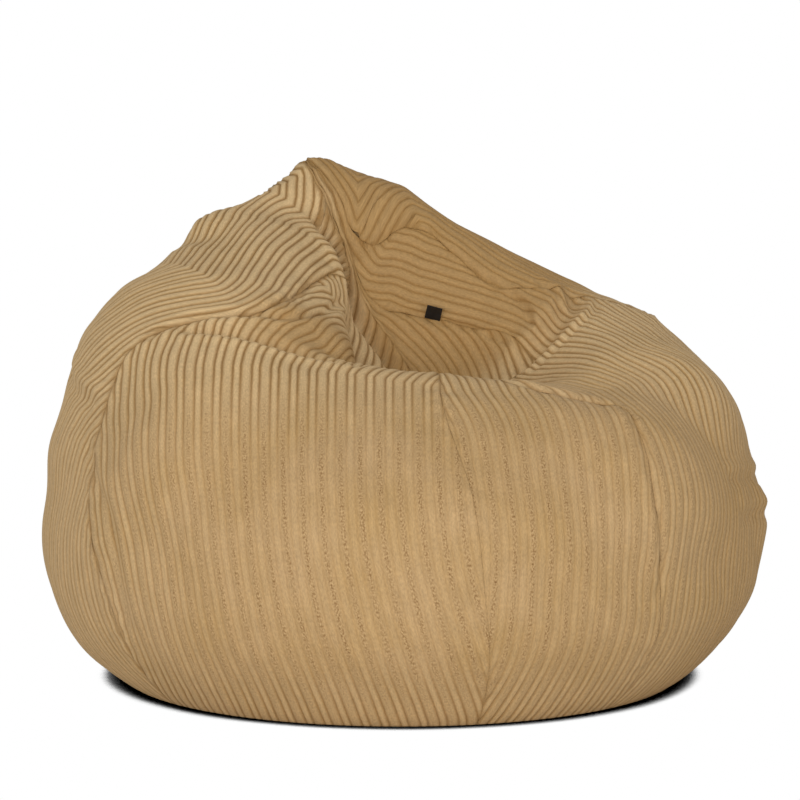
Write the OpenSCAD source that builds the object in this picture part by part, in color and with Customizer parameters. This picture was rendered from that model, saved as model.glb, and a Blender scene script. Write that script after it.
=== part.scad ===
// Bean bag chair: a slumped corduroy cover of six sewn side panels and a two-piece base
// with a zip across it, over a zipped inner liner that holds the bead fill.
// Millimetres. The front faces -Y and +Z is up. The origin is on the floor, at the middle
// of the base. The base, zips and stops are drawn exactly; the bag's outer shape is a
// smooth blend of lobes, found along rays that leave one inner point, the heart.

/* [Overall] */
// Width of the bag across its belly
bag_w = 904; // [760:1:1090]
// Depth of the bag from front to back
bag_d = 880; // [740:1:1060]
// Height of the tip above the floor
bag_h = 650; // [545:1:780]
// Diameter of the round base
base_dia = 702; // [585:1:750]

/* [Seat] */
// Width of the seat hollow
seat_w = 410; // [330:1:490]
// Depth of the seat hollow from front to back
seat_d = 340; // [270:1:400]
// Height of the seat's lowest point above the floor
seat_h = 355; // [310:1:390]

/* [Cloth] */
// Thickness of the corduroy
cord_t = 3.0; // [2:0.1:5]
// Thickness of the liner's cloth
liner_t = 0.8; // [0.5:0.1:1.5]
// Space between one layer and the next
layer_gap = 0.5; // [0.4:0.1:1]
// Space between two panels at a seam
seam_gap = 0.6; // [0.4:0.1:1]

/* [Cover zip] */
// Length of the cover's zip, between its stops
zip_len = 520; // [300:1:560]
// Width of one tape
tape_w = 15; // [12:0.5:20]
// Thickness of the tapes
tape_t = 0.6; // [0.4:0.1:1]
// Height of the coil above its tape
coil_h = 2.4; // [1.6:0.1:3]
// Width of one coil
coil_w = 2.6; // [1.6:0.1:3.5]
// Length of the slider
slider_len = 14; // [10:0.5:20]

/* [Liner zip] */
// Length of the liner's zip, between its stops
liner_zip_len = 360; // [200:1:420]
// Distance of the liner's zip behind the cover's zip
liner_zip_back = 120; // [80:1:150]

/* [Label] */
// Width of the sewn-in label
label_w = 21; // [14:0.5:30]
// Height of the label above its seam
label_h = 16; // [10:0.5:24]
// Thickness of the folded label
label_t = 1.4; // [1:0.1:2]

/* [Hidden] */

cord_colour = "#B59767";
liner_colour = "#E6E1D6";
zip_colour = "#A58757";

// The lobes are drawn for a bag of this width, depth and height, and stretched to the real one.
drawn = [904, 880, 650];
stretch = [bag_w / drawn.x, bag_d / drawn.y, bag_h / drawn.z];
heart = [-50 * stretch.x, 70 * stretch.y, 190 * stretch.z];
tip = [-118, 150, 604];
tip_r = 26;
belly_z = 185;
belly_up = 222;
belly_power = 2.5;
belly_mean_r = 240;  // turns the belly's measure into millimetres
// The belly's underside closes on the base's edge.
base_r = base_dia / 2;
base_share = min(base_r / stretch.x / (drawn.x / 2), 0.95);  // of the belly's half width
belly_down = belly_z / pow(1 - pow(base_share, belly_power), 1 / belly_power);

// The seams between the side panels: at each height up the panel, 0 at the base and 1 at
// the tip, the seam's bearing from the heart, in degrees from +X towards +Y.
front_seam = [[0, -71], [0.3, -73], [0.45, -71], [0.65, -57], [0.85, -58], [1, -62]];
label_seam = [[0, -46], [0.36, -48], [0.42, -47], [0.54, -26], [0.64, -22], [0.76, -28],
              [0.88, -46], [1, -50]];
ridge_seam = [[0, 16], [0.45, 12], [0.6, -6], [0.72, -14], [0.8, -20], [0.88, -34], [1, -38]];
back_right_seam = [[0, 80], [0.5, 76], [1, 50]];
back_left_seam = [[0, 152], [0.5, 156], [1, 165]];
left_seam = [[0, 231], [0.16, 230], [0.36, 224], [0.47, 228], [0.6, 246], [0.74, 259],
             [0.9, 268], [1, 265]];

// The panels in order round the bag: panel k is sewn between seams k and k + 1.
seams = [[for (k = left_seam) [k[0], k[1] - 360]], front_seam, label_seam, ridge_seam,
         back_right_seam, back_left_seam, left_seam];

rows = 24;     // steps up each panel
column = 6.5;  // widest step round the belly, in degrees
belly_v = 0.3; // how far up the panels the belly is widest
neck = 0.994;  // the panels end here, just short of the tip
nearest = 120; // between the heart and the outer face, at least and at most
farthest = 760;
halvings = 14;

label_v = 0.745;    // how far up its seam the label is sewn
label_hem = 2;      // the label's edge clears the seam by this much
label_stand = 1.0;  // between the label and the panel behind it
label_side = 2;     // bearings this far to each side give the line that it lies along
label_up = [1, 0.02];  // the bearing and the height that lead up the panel behind it

circle_fn = 96;
coil_fn = 48;

// Depths of the layers below the cover's outer face
cover_in = cord_t;
liner_out = cover_in + layer_gap;
liner_in = liner_out + liner_t;
fill_out = liner_in + layer_gap;

// Heights in the base, from the floor up
ring_gap = 1.2;       // between the base's edge and the panels
tape_z = cord_t;
plate_gap = 0.5;      // between the slider's plates and the zip
plate_t = 1.2;
slider_w = 11;
slit_w = slider_w + 3;
coil_gap = 1.4;       // between the two coils, where the slider's post runs
tape_gap = 2.4;
post_w = 0.8;
stop_len = 5;
channel_w = 2 * tape_w + tape_gap + 4;
channel_z = tape_z + tape_t + coil_h + plate_gap + plate_t + layer_gap;
channel_len = zip_len + 4 * stop_len;

// The liner's own zip
liner_z = cord_t + layer_gap;
liner_tape_z = liner_z + liner_t;
liner_plate_t = 0.5;
liner_plate_gap = 0.25;
pocket_len = liner_zip_len + 4 * stop_len;
pocket_z = liner_tape_z + tape_t + coil_h + liner_plate_gap + liner_plate_t + layer_gap;

function smooth_min(a, b, k) = let (h = max(k - abs(a - b), 0) / k) min(a, b) - h * h * k / 4;
function smooth_max(a, b, k) = -smooth_min(-a, -b, k);

// Distance from point p to an oval lobe with centre c and half sizes r, below zero inside
function oval(p, c, r) =
    let (q = p - c, near = norm([q.x / r.x, q.y / r.y, q.z / r.z]),
         far = norm([q.x / r.x ^ 2, q.y / r.y ^ 2, q.z / r.z ^ 2]) + 1e-9)
    near * (near - 1) / far;

// Distance from point p to a roll from a to b, with radius ra at a and rb at b
function roll(p, a, b, ra, rb) =
    let (d = b - a, t = min(max((p - a) * d / (d * d), 0), 1))
    norm(p - a - t * d) - ra - (rb - ra) * t;

function belly(p) =
    let (across = norm([p.x / (drawn.x / 2), p.y / (drawn.y / 2)]),
         up = abs(p.z - belly_z) / (p.z > belly_z ? belly_up : belly_down))
    belly_mean_r * (pow(pow(across, belly_power) + pow(up, belly_power), 1 / belly_power) - 1);

// The oval lobe that presses the seat in
seat_ball = 225;
seat_half = [seat_w / 2 / stretch.x, seat_d / 2 / stretch.y, seat_ball];
seat_mid = [60, -90, seat_h / stretch.z + seat_ball];

// The bag's outer face is where this is zero: belly, front roll, right arm, left bulge,
// the shoulder and two back slopes that climb to the tip, and the seat pressed into them.
function bag(p) =
    let (front = smooth_min(belly(p), roll(p, [-215, -185, 310], [235, -205, 252], 126, 118), 60),
         arm = smooth_min(front, oval(p, [270, 35, 286], [160, 230, 165]), 60),
         bulge = smooth_min(arm, oval(p, [-222, 15, 335], [210, 235, 203]), 60),
         shoulder = smooth_min(bulge, roll(p, [-195, 85, 470], tip, 108, tip_r), 45),
         slope = smooth_min(shoulder, roll(p, [190, 130, 305], tip, 190, tip_r), 45),
         back = smooth_min(slope, roll(p, [-20, 170, 280], tip, 230, tip_r), 45))
    smooth_max(back, -oval(p, seat_mid, seat_half), 55);

function drawn_point(p) = [p.x / stretch.x, p.y / stretch.y, p.z / stretch.z];

// How far from the heart a ray comes to the face that lies `depth` below the outer one
function reach(ray, depth, lo = nearest, hi = farthest, steps = halvings) =
    steps == 0 ? (lo + hi) / 2
    : let (mid = (lo + hi) / 2)
      bag(drawn_point(heart + mid * ray)) + depth < 0 ? reach(ray, depth, mid, hi, steps - 1)
                                                      : reach(ray, depth, lo, mid, steps - 1);

// Level distance from the heart to the base's edge, less `inset`, on a bearing
function ring(bearing, inset) =
    let (along = heart.x * cos(bearing) + heart.y * sin(bearing), r = base_r - inset)
    -along + sqrt(along ^ 2 - heart.x ^ 2 - heart.y ^ 2 + r ^ 2);

// The ray on a bearing that is v of the way up from the base's edge to the tip
function ray(bearing, v) =
    let (low = atan2(ring(bearing, 0), heart.z), polar = low + (180 - low) * v,
         lean = v * v * (3 - 2 * v), top = [for (i = [0:2]) tip[i] * stretch[i]] - heart,
         d = [sin(polar) * cos(bearing) + top.x / top.z * lean,
              sin(polar) * sin(bearing) + top.y / top.z * lean, -cos(polar)])
    d / norm(d);

// A point of one layer's face; the lowest row lies on the base's ring at height z
function skin(bearing, v, depth, z = 0) =
    let (level = [cos(bearing), sin(bearing), 0], d = ray(bearing, v))
    v == 0 ? [heart.x, heart.y, z] + ring(bearing, depth) * level
           : heart + reach(d, depth) * d;

// Half the seam gap as an angle round the heart, at seam k
function gap_angle(k, v) =
    let (p = skin(lookup(v, seams[k]), v, 0) - heart)
    asin(min(seam_gap / 2 / norm([p.x, p.y]), 0.5));

function steps_across(k) = ceil((lookup(belly_v, seams[k + 1]) - lookup(belly_v, seams[k])) / column);

// The bearings of panel k's columns, v of the way up, from one seam's gap to the next one's
function bearings(k, v) =
    let (n = steps_across(k), low = lookup(v, seams[k]) + gap_angle(k, v),
         high = lookup(v, seams[k + 1]) - gap_angle(k + 1, v))
    [for (i = [0:n]) low + (high - low) * i / n];

// Triangles over a grid of n by m steps whose points start at `first`
function sheet_faces(n, m, first, flip) =
    [for (i = [0:n - 1], j = [0:m - 1])
        let (a = first + i * (m + 1) + j, b = a + m + 1)
        each flip ? [[a, b, a + 1], [b, b + 1, a + 1]] : [[a, a + 1, b], [b, a + 1, b + 1]]];

// Triangles that close the gap between two rows of points, `step` apart in each
function edge_faces(count, from, to, step, flip) =
    [for (i = [0:count - 1])
        let (a = from + i * step, b = to + i * step)
        each flip ? [[a, b, a + step], [b, b + step, a + step]]
                  : [[a, a + step, b], [b, a + step, b + step]]];

// Side panel k: an outer and an inner face, joined along its four edges
module panel(k) {
    n = steps_across(k);
    size = (n + 1) * (rows + 1);
    columns = [for (j = [0:rows]) bearings(k, neck * j / rows)];
    function face(depth) =
        [for (i = [0:n], j = [0:rows]) skin(columns[j][i], neck * j / rows, depth)];
    color(cord_colour)
    polyhedron(
        points = concat(face(0), face(cover_in)),
        faces = concat(
            sheet_faces(n, rows, 0, false),
            sheet_faces(n, rows, size, true),
            edge_faces(n, 0, size, rows + 1, false),
            edge_faces(n, rows, size + rows, rows + 1, true),
            edge_faces(rows, 0, size, 1, true),
            edge_faces(rows, n * (rows + 1), size + n * (rows + 1), 1, false)));
}

// The liner and the fill share the panels' columns, so that each layer nests in the one outside it
around = [for (j = [0:rows - 1]) [for (k = [0:len(seams) - 2]) each bearings(k, neck * j / rows)]];
closed_columns = len(around[0]);

// Points of a closed layer: rings from the base up, then the top point
function closed_points(depth, z) =
    concat([for (j = [0:rows - 1], bearing = around[j]) skin(bearing, neck * j / rows, depth, z)],
           [skin(0, 1, depth)]);

function closed_faces(first, flip) =
    let (n = closed_columns, top = first + rows * n)
    concat(
        [for (j = [0:rows - 2], i = [0:n - 1])
            let (a = first + j * n + i, b = first + j * n + (i + 1) % n)
            each flip ? [[a, b, a + n], [b, b + n, a + n]] : [[a, a + n, b], [b, a + n, b + n]]],
        [for (i = [0:n - 1])
            let (a = first + (rows - 1) * n + i, b = first + (rows - 1) * n + (i + 1) % n)
            flip ? [a, b, top] : [a, top, b]]);

module liner_wall() {
    size = rows * closed_columns + 1;
    color(liner_colour)
    polyhedron(
        points = concat(closed_points(liner_out, liner_z), closed_points(liner_in, liner_z)),
        faces = concat(
            closed_faces(0, false), closed_faces(size, true),
            [for (i = [0:closed_columns - 1])
                let (a = i, b = (i + 1) % closed_columns)
                each [[a, b, size + a], [b, size + b, size + a]]]));
}

module bead_fill() {
    floor_z = liner_z + liner_t + layer_gap;
    color("white")
    difference() {
        polyhedron(
            points = closed_points(fill_out + ring_gap, floor_z),
            faces = concat(closed_faces(0, false), [[for (i = [0:closed_columns - 1]) i]]));
        block(channel_len + 2 * (liner_t + layer_gap), channel_w + 2 * (liner_t + layer_gap),
              0, channel_z + liner_t + layer_gap);
        translate([0, liner_zip_back, 0])
            block(pocket_len, channel_w, 0, pocket_z);
    }
}

// A box centred on the X axis, between two heights
module block(length, width, low, high) {
    translate([-length / 2, -width / 2, low]) cube([length, width, high - low]);
}

// Half of a round sheet, on the side of y = split that `side` gives, with its bottom at z
module half_disc(r, split, side, z, t) {
    intersection() {
        translate([0, 0, z]) cylinder(r = r, h = t, $fn = circle_fn);
        translate([-2 * r, side > 0 ? split : split - 4 * r, z - 1]) cube([4 * r, 4 * r, t + 2]);
    }
}

// One half of the cover's base, cut back along the zip so that the slider can pass
module base_half(side) {
    color(cord_colour)
    difference() {
        half_disc(base_r - cord_t - ring_gap, side * seam_gap / 2, side, 0, cord_t);
        block(zip_len + 2 * stop_len, slit_w, -1, cord_t + 1);
    }
}

// The liner's base: flat, raised into a channel over the cover's zip, and slit for its own zip
module liner_base() {
    r = base_r - liner_in - 2 * ring_gap;
    color(liner_colour)
    difference() {
        union() {
            translate([0, 0, liner_z]) cylinder(r = r, h = liner_t, $fn = circle_fn);
            block(channel_len + 2 * liner_t, channel_w + 2 * liner_t, liner_z, channel_z + liner_t);
        }
        block(channel_len, channel_w, liner_z - 1, channel_z);
        translate([0, liner_zip_back, 0])
            block(liner_zip_len + 2 * stop_len, slit_w, liner_z - 1, liner_tape_z + 1);
    }
}

// One tape of a zip, on the side of the zip's line that `side` gives
module zip_tape(length, side, z) {
    color(zip_colour)
    translate([-length / 2 - stop_len, side > 0 ? tape_gap / 2 : -tape_gap / 2 - tape_w, z])
        cube([length + 2 * stop_len, tape_w, tape_t]);
}

// One coil: a rounded rail along the tape's inner edge
module zip_coil(length, side, z) {
    color(zip_colour)
    translate([-length / 2, side * (coil_gap + coil_w) / 2, z + tape_t])
        rotate([90, 0, 90])
            linear_extrude(length)
                intersection() {
                    translate([-coil_w / 2, 0]) square([coil_w, coil_h]);
                    translate([0, (coil_h - coil_w) / 2]) circle(r = (coil_h + coil_w) / 2, $fn = coil_fn);
                }
}

// The slider: two plates joined by a post that runs between the coils. It has no pull.
module zip_slider(length, z, plate, gap) {
    low = z - gap - plate;
    high = z + tape_t + coil_h + gap;
    color("#8C8C88")
    translate([length / 2 - slider_len / 2 - gap, 0, 0])
        union() {
            block(slider_len, slider_w, low, low + plate);
            block(slider_len, slider_w, high, high + plate);
            translate([slider_len / 2 - post_w, 0, 0]) block(2 * post_w, post_w, low, high + plate);
        }
}

// A stop that bridges both tapes just past the coils' end
module zip_stop(length, end, z) {
    color(zip_colour)
    translate([end * (length / 2 + stop_len / 2), 0, 0])
        block(stop_len - 1, 2 * coil_w + coil_gap + 3, z + tape_t, z + tape_t + coil_h);
}

module at_liner_zip() {
    translate([0, liner_zip_back, 0]) children();
}

// The label, folded and sewn into the seam behind the seat. It leans back on the panel above.
module label() {
    bearing = lookup(label_v, label_seam);
    foot = skin(bearing, label_v, 0);
    along = skin(bearing + label_side, label_v, 0) - skin(bearing - label_side, label_v, 0);
    up = skin(bearing + label_up[0], label_v + label_up[1], 0) - foot;
    x = along / norm(along);
    lift = up - (up * x) * x;
    y = lift / norm(lift);
    out = cross(x, y);
    corner = foot - x * label_w / 2 + y * label_hem + out * label_stand;
    color("#232323")
    multmatrix([[x.x, y.x, out.x, corner.x], [x.y, y.y, out.y, corner.y],
                [x.z, y.z, out.z, corner.z], [0, 0, 0, 1]])
        cube([label_w, label_h, label_t]);
}

panel(0);  // front_left_panel
panel(1);  // front_right_panel
panel(2);  // right_panel
panel(3);  // back_right_panel
panel(4);  // back_left_panel
panel(5);  // left_panel
base_half(-1);  // base_front_half
base_half(1);  // base_rear_half
zip_tape(zip_len, -1, tape_z);  // zip_tape_front
zip_tape(zip_len, 1, tape_z);  // zip_tape_rear
zip_coil(zip_len, -1, tape_z);  // zip_coil_front
zip_coil(zip_len, 1, tape_z);  // zip_coil_rear
zip_slider(zip_len, tape_z, plate_t, plate_gap);
zip_stop(zip_len, 1, tape_z);  // zip_top_stop
zip_stop(zip_len, -1, tape_z);  // zip_bottom_stop
label();
liner_wall();
liner_base();
at_liner_zip() zip_tape(liner_zip_len, -1, liner_tape_z);  // liner_zip_tape_front
at_liner_zip() zip_tape(liner_zip_len, 1, liner_tape_z);  // liner_zip_tape_rear
at_liner_zip() zip_coil(liner_zip_len, -1, liner_tape_z);  // liner_zip_coil_front
at_liner_zip() zip_coil(liner_zip_len, 1, liner_tape_z);  // liner_zip_coil_rear
at_liner_zip() zip_slider(liner_zip_len, liner_tape_z, liner_plate_t, liner_plate_gap);  // liner_zip_slider
at_liner_zip() zip_stop(liner_zip_len, 1, liner_tape_z);  // liner_zip_top_stop
at_liner_zip() zip_stop(liner_zip_len, -1, liner_tape_z);  // liner_zip_bottom_stop
bead_fill();
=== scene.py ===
import math

import bmesh
import bpy
import numpy as np
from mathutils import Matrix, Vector


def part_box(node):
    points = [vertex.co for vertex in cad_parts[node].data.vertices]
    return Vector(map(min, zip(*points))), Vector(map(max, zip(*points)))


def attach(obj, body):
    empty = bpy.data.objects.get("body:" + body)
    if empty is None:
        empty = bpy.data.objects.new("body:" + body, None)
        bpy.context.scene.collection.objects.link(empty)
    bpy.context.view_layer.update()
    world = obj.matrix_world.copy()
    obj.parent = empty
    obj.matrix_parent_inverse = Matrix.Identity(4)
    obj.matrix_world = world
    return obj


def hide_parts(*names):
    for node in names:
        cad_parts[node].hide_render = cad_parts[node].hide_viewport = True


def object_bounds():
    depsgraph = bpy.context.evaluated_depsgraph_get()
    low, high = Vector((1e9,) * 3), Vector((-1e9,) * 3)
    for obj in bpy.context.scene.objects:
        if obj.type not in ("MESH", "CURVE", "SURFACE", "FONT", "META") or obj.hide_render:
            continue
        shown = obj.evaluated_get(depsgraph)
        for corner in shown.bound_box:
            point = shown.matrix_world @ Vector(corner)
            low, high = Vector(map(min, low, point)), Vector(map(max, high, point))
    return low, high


# Bean bag chair in wide-and-narrow corduroy: six side panels sewn from the base to the tip, a two-piece
# base with a zip across it, a bare satin label, a zipped liner and the bead fill.
# Shapes are worked out in millimetres, in the frame's axes, and go into the meshes in metres.
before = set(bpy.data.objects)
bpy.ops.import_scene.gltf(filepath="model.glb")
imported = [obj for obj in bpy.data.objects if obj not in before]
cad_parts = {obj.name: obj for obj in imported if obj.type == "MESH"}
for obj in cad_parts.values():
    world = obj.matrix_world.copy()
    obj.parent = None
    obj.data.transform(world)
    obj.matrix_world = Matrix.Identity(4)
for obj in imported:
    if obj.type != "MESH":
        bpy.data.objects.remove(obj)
CAD_LOW, CAD_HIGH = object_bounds()

MM = 0.001
BODY = "bag"

# ---------------------------------------------------------------- the bag's size, from the frame
# The lobes are drawn for a bag whose panels measure this, and stretched to the real one.
DRAWN = np.array([906.5, 879.7, 647.2])
STRETCH = (np.array(CAD_HIGH) - np.array(CAD_LOW)) / MM / DRAWN
BASE_GAP = 4.2  # the base's edge lies this far inside the panels' outer face
BASE_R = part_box("base_rear_half")[1].y / MM + BASE_GAP
HEART = np.array([-50.0, 70.0, 190.0]) * STRETCH
TIP = np.array([-118.0, 150.0, 604.0])
TIP_R, TIP_LEFT_R = 20.0, 16.0
BELLY_HALF = np.array([452.0, 440.0])
BELLY_Z, BELLY_UP, BELLY_POWER, BELLY_MEAN_R = 185.0, 222.0, 2.5, 240.0
BELLY_DOWN = BELLY_Z / (1 - (BASE_R / STRETCH[0] / BELLY_HALF[0]) ** BELLY_POWER) ** (1 / BELLY_POWER)
SEAT_HALF = np.array([205.0, 170.0, 225.0])
SEAT_MID = np.array([60.0, -90.0, 355.0 + 225.0])

# ---------------------------------------------------------------- cloth
BACKING = 2.6        # under the pile
WIDE, NARROW = 13.6, 9.4
PAIR = WIDE + NARROW
WIDE_H, NARROW_H = 3.0, 2.4
SEAM_GAP = 0.05      # from a seam's line to each panel's edge
HEM = 4.0            # the pile dips towards a seam over this width
HEM_DROP = 0.7       # and by this much, less where it is worn
LINER_DEPTH, LINER_T = 6.8, 0.8
FILL_DEPTH = 8.4
STRIPS, BLOCK = 40, 4  # the panels' inner faces have this many strips, and a row for so many outer ones

# Rolls of slack cloth on the lobes: points with the radius at each, and how softly the roll blends in
SLACK = [
    # the crest to the right of the tip, and the shoulder of the left bulge
    ([(-84, 148, 585, 46), (-18, 148, 564, 50), (45, 150, 517, 52), (125, 150, 468, 56),
      (190, 150, 434, 56)], 20),
    ([(-236, 88, 541, 40), (-192, 100, 554, 38), (-150, 130, 586, 30)], 18),
    # the rim over the front
    ([(-130, -198, 365, 45), (45, -210, 361, 45), (115, -214, 349, 45), (219, -205, 322, 45)], 24),
    # the left bulge: its toe on the rim, its edge over the hollow, and its flank behind that edge
    ([(-190, -98, 416, 62), (-112, -98, 400, 50)], 14),
    ([(-110, -95, 400, 50), (-120, 60, 490, 44)], 14),
    ([(-160, -82, 425, 66), (-162, 60, 500, 66)], 44),
    # the right arm's outer edge, and the slack that hangs below it
    ([(334, -60, 326, 75), (334, 90, 326, 75)], 40),
    ([(390, -40, 202, 69), (389, 60, 202, 69)], 22),
]

# Each seam: (share of the way up the panel, bearing from the heart in degrees)
FRONT_SEAM = [(0, -71), (0.3, -73), (0.45, -71), (0.52, -66), (0.6, -57), (0.7, -49.5), (0.77, -49),
              (0.82, -54), (0.86, -57.5), (0.9, -57.5), (0.935, -64), (0.958, -76), (1, -95)]
LABEL_SEAM = [(0, -46), (0.17, -47.3), (0.29, -48.3), (0.355, -46.3), (0.388, -45.5), (0.408, -49.7),
              (0.431, -54.3), (0.464, -58.2), (0.5, -49), (0.54, -28), (0.58, -22.5), (0.67, -22),
              (0.755, -27.7), (0.8, -35), (0.84, -47), (0.87, -52.5), (0.91, -54), (0.935, -59),
              (0.958, -69), (1, -86)]
RIDGE_SEAM = [(0, 16), (0.4, 12), (0.52, 1), (0.6, -9), (0.66, -14), (0.755, -13.7), (0.81, -16), (0.85, -25),
              (0.88, -38), (0.91, -48), (0.935, -53), (0.958, -62), (1, -77)]
BACK_RIGHT_SEAM = [(0, 80), (0.5, 76), (1, 50)]
BACK_LEFT_SEAM = [(0, 152), (0.5, 156), (1, 165)]
LEFT_SEAM = [(0, 231), (0.16, 230), (0.36, 224), (0.447, 225), (0.52, 228.5), (0.57, 237.7), (0.61, 252),
             (0.65, 258.5), (0.7, 262.7), (0.77, 269.3), (0.83, 281), (0.868, 295), (0.9, 299), (0.935, 293),
             (0.958, 281), (1, 262)]
LEFT_SEAM_BEFORE = [(v, b - 360) for v, b in LEFT_SEAM]

# Each panel: its name, the seams on its two sides, and one wale, from which the others keep their distance
PANELS = [
    ("front_left_panel", LEFT_SEAM_BEFORE, FRONT_SEAM,
     [(0, -91), (0.1, -93.5), (0.2, -95.4), (0.33, -96), (0.48, -96), (0.51, -96), (0.54, -94), (0.59, -89.5),
      (0.66, -82.5), (0.74, -75), (0.85, -62), (0.9, -52), (1, -45)]),
    ("front_right_panel", FRONT_SEAM, LABEL_SEAM,
     [(0, -71), (0.1, -68.5), (0.2, -67.3), (0.29, -66.3), (0.39, -63.3), (0.45, -62), (0.5, -58),
      (0.55, -50), (0.6, -43), (0.67, -36), (0.75, -36), (0.8, -41), (0.85, -52), (0.9, -56), (1, -92)]),
    ("right_panel", LABEL_SEAM, RIDGE_SEAM,
     [(0, -36), (0.27, -35.5), (0.37, -32), (0.42, -29.3), (0.47, -29), (0.52, -24), (0.6, -18),
      (0.65, -17.3), (0.72, -19), (0.79, -24.7), (0.84, -33), (0.87, -43.7), (0.9, -50), (0.94, -58),
      (1, -82)]),
    ("back_right_panel", RIDGE_SEAM, BACK_RIGHT_SEAM,
     [(0, 22), (0.45, 18), (0.58, -1), (0.67, -1), (0.77, 4), (0.835, 2.7), (0.875, -12.7), (0.895, -42),
      (0.93, -52), (1, -70)]),
    ("back_left_panel", BACK_RIGHT_SEAM, BACK_LEFT_SEAM, [(0, 116), (1, 108)]),
    ("left_panel", BACK_LEFT_SEAM, LEFT_SEAM,
     [(0, 199), (0.34, 200.5), (0.45, 203.5), (0.5, 209), (0.55, 219), (0.593, 228.3), (0.636, 243.7),
      (0.67, 247.3), (0.73, 248), (0.808, 250), (0.858, 254.3), (0.905, 261.3), (0.924, 276.7), (0.94, 294),
      (0.96, 310), (1, 330)]),
]

# Folds: a line up or along the skin in (bearing, share of the way up), and bells across it as
# (offset, width, height): an offset to the left of the line's way is positive, a height below 0 a crease
FOLDS = [
    # the piped seam from the seat to the tip, the crevice on its left and the cushion that rolls into that
    ([(-56, 0.61), (-49.5, 0.7), (-49, 0.77), (-54, 0.82), (-57.5, 0.86), (-57.5, 0.9), (-64, 0.935)],
     [(0, 6.5, 7.5), (17, 8, -15), (38, 15, 6)]),
    # the left seam, pulled in
    ([(-131.5, 0.52), (-122.3, 0.57), (-108, 0.61), (-101.5, 0.65), (-97.3, 0.7), (-90.7, 0.77), (-79, 0.83)],
     [(0, 5, -5), (14, 8, 2), (-14, 8, 2)]),
    # the crease below it, on the front left panel
    ([(-115.3, 0.593), (-110.3, 0.6), (-105.3, 0.608), (-99, 0.62), (-90, 0.683), (-78, 0.8)],
     [(0, 5.5, -7), (-13, 8, 3.5)]),
    # the crease where the left bulge stands on the rim, and the rim's own crest
    ([(-124, 0.56), (-116.7, 0.56), (-110.7, 0.558), (-102.3, 0.554), (-95.7, 0.545), (-88, 0.53),
      (-82, 0.515)], [(0, 10, -13), (-18, 9, 3)]),
    # the valley between the seat's back and the right arm, with a pucker on each side
    ([(-5, 0.585), (-12, 0.573), (-17.3, 0.567), (-23.7, 0.555), (-31.3, 0.54)],
     [(0, 13, -13), (22, 6, 3), (30, 6, -3), (-26, 12, 4)]),
    # puckers that cross the valley's upper side
    ([(-14, 0.66), (-16, 0.62), (-20, 0.58)], [(0, 5, -4), (10, 6, 3)]),
    ([(-9, 0.64), (-11, 0.6), (-16, 0.57)], [(0, 5, -3.5), (10, 6, 3)]),
    # the seams behind the seat
    ([(-14, 0.66), (-13.7, 0.755), (-16, 0.81), (-25, 0.85), (-38, 0.88)], [(0, 6, -2.5), (-14, 10, 2)]),
    ([(-22.5, 0.58), (-22, 0.67), (-27.7, 0.755), (-35, 0.8), (-47, 0.84)], [(0, 5, -3.5), (12, 8, 2)]),
    # the pocket where the seams are gathered
    ([(-54, 0.9), (-42, 0.892)], [(0, 12, -7)]),
    # the chevron along the rim and its way down the right side
    ([(-45.5, 0.388), (-49.7, 0.408), (-54.3, 0.431), (-58.2, 0.464)], [(0, 5, -3.5), (-12, 8, 2)]),
    ([(-47.3, 0.17), (-48.3, 0.29), (-46.3, 0.355), (-44, 0.392)], [(0, 5, -3), (12, 8, 1.5)]),
    # slack at the sides
    ([(-30, 0.285), (-18, 0.28), (-6, 0.27)], [(0, 9, -4), (16, 9, 3)]),
    ([(-28, 0.24), (-14, 0.235), (0, 0.22)], [(0, 9, -4), (16, 9, 2.5)]),
    ([(-142, 0.4), (-134, 0.335), (-128, 0.27), (-127, 0.13)], [(0, 9, -4), (20, 12, 2)]),
    ([(-165, 0.5), (-150, 0.46), (-139, 0.44)], [(0, 10, -4), (20, 10, 3)]),
    # slack at the back
    ([(60, 0.62), (72, 0.52), (79, 0.42)], [(0, 12, -5), (-24, 14, 4)]),
    ([(100, 0.66), (88, 0.58), (78, 0.5)], [(0, 12, -5), (24, 14, 4)]),
    ([(140, 0.68), (150, 0.56), (154, 0.46)], [(0, 12, -5), (-24, 14, 4)]),
    ([(180, 0.66), (167, 0.56), (157, 0.48)], [(0, 12, -4), (24, 14, 3)]),
]
SEAMS = [FRONT_SEAM, LABEL_SEAM, RIDGE_SEAM, BACK_RIGHT_SEAM, BACK_LEFT_SEAM, LEFT_SEAM_BEFORE]
# Puckers beside a seam: their wavelength over 2 pi, their height, and how far to each side they reach
PUCKER_WAVE, PUCKER_H, PUCKER_REACH = 5.2, 1.0, 16
# The whole skin's unevenness: the lengths of its waves, and each wave's height as a share of its length
LONG_WAVES, LONG_SHARE = (60, 75, 90, 120, 150, 190), 0.007

# ---------------------------------------------------------------- the lobes


def ramp(x, low, high):
    """0 below low, 1 above high, and a smooth step between."""
    t = np.clip((x - low) / (high - low), 0, 1)
    return t * t * (3 - 2 * t)


def smooth_min(a, b, k):
    """The smaller of a and b, rounded over a band k wide."""
    h = np.maximum(k - np.abs(a - b), 0) / k
    return np.minimum(a, b) - h * h * k / 4


def smooth_max(a, b, k):
    """The larger of a and b, rounded over a band k wide."""
    return -smooth_min(-a, -b, k)


def oval(p, centre, half):
    """Distance to an oval: its scaled radius times (scaled radius - 1), over the gradient's size."""
    q = p - np.array(centre, float)
    half = np.array(half, float)
    near = np.linalg.norm(q / half, axis=-1)
    far = np.linalg.norm(q / half**2, axis=-1) + 1e-9
    return near * (near - 1) / far


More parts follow.
